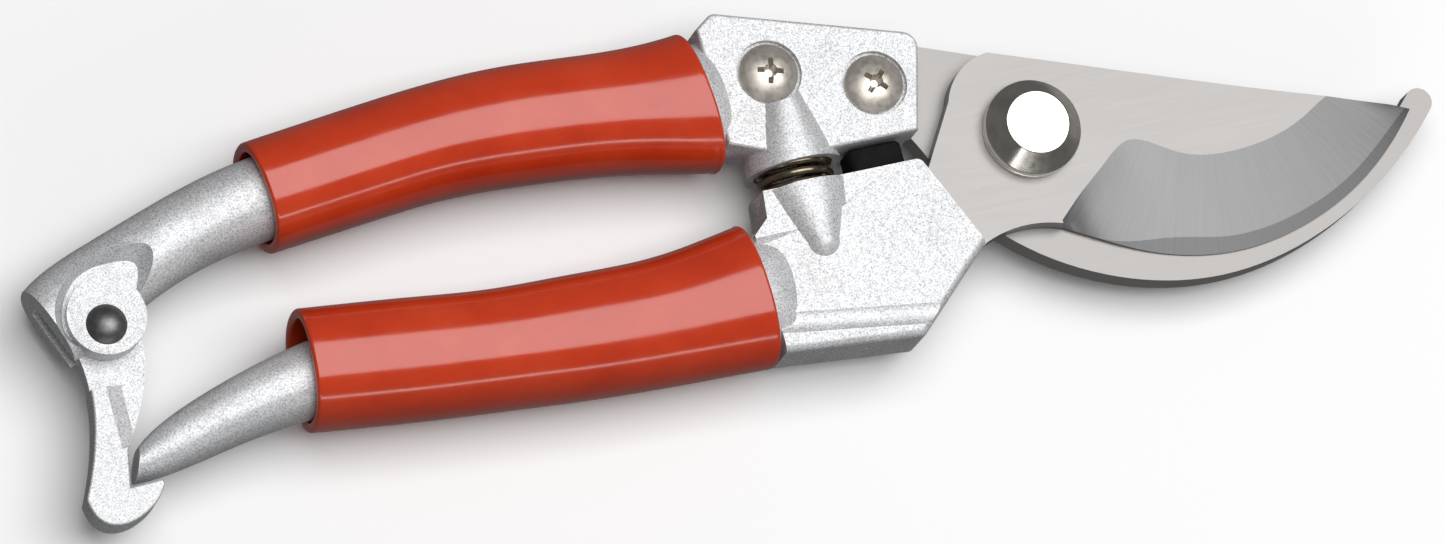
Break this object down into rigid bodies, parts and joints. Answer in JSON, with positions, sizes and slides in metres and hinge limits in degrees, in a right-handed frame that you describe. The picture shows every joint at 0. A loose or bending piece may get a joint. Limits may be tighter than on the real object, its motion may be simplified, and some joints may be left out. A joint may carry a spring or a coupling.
{
  "type": "pruning shears",
  "caption": "Bypass pruning shears with cast handles, dipped grips, a hooked counter blade, a ground cutting blade, an opening spring and a swinging end latch.",
  "frame": {"origin": "on the pivot axis, in the plane of the nut's rear face, which the grips rest in too", "axes": "+X along the tool towards the blade tip, +Y towards the upper handle, +Z out of the front face"},
  "size_m": [0.2162, 0.0556, 0.0185],
  "materials": {
    "cast_silver": "silver sand-textured paint on cast aluminium",
    "grip_red": "glossy dipped vinyl",
    "blade_steel": "brushed stainless steel with a ground bevel",
    "nickel": "polished nickel plate",
    "bronze": "plain sintered bronze",
    "dark_steel": "dark satin steel",
    "spring_steel": "oil-tempered spring steel",
    "black_rubber": "soft black rubber"
  },
  "bodies": {
    "upper_half": {"upper_handle": "cast_silver", "upper_grip": "grip_red", "counter_blade": "blade_steel", "counter_blade_screw_1": "nickel", "counter_blade_screw_2": "nickel", "pivot_bolt": "nickel", "pivot_front_washer": "nickel", "pivot_rear_washer": "nickel", "pivot_nut": "nickel", "latch_rivet": "dark_steel", "latch_washer": "nickel", "main_spring": "spring_steel"},
    "lower_half": {"lower_handle": "cast_silver", "lower_grip": "grip_red", "cutting_blade": "blade_steel", "pivot_bush": "bronze", "cutting_blade_screw_1": "nickel", "cutting_blade_screw_2": "nickel", "stop_cushion": "black_rubber"},
    "latch": {"latch": "cast_silver"}
  },
  "joints": [
    {"name": "pivot", "type": "hinge", "parent": "upper_half", "child": "lower_half", "pos_m": [0, 0, 0.00925], "axis": [0, 0, 1], "range_deg": [0, 25], "deforming": ["main_spring"]},
    {"name": "latch_swing", "type": "hinge", "parent": "upper_half", "child": "latch", "pos_m": [-0.1426, -0.0004, 0.00925], "axis": [0, 0, 1], "range_deg": [-75, 0]}
  ]
}
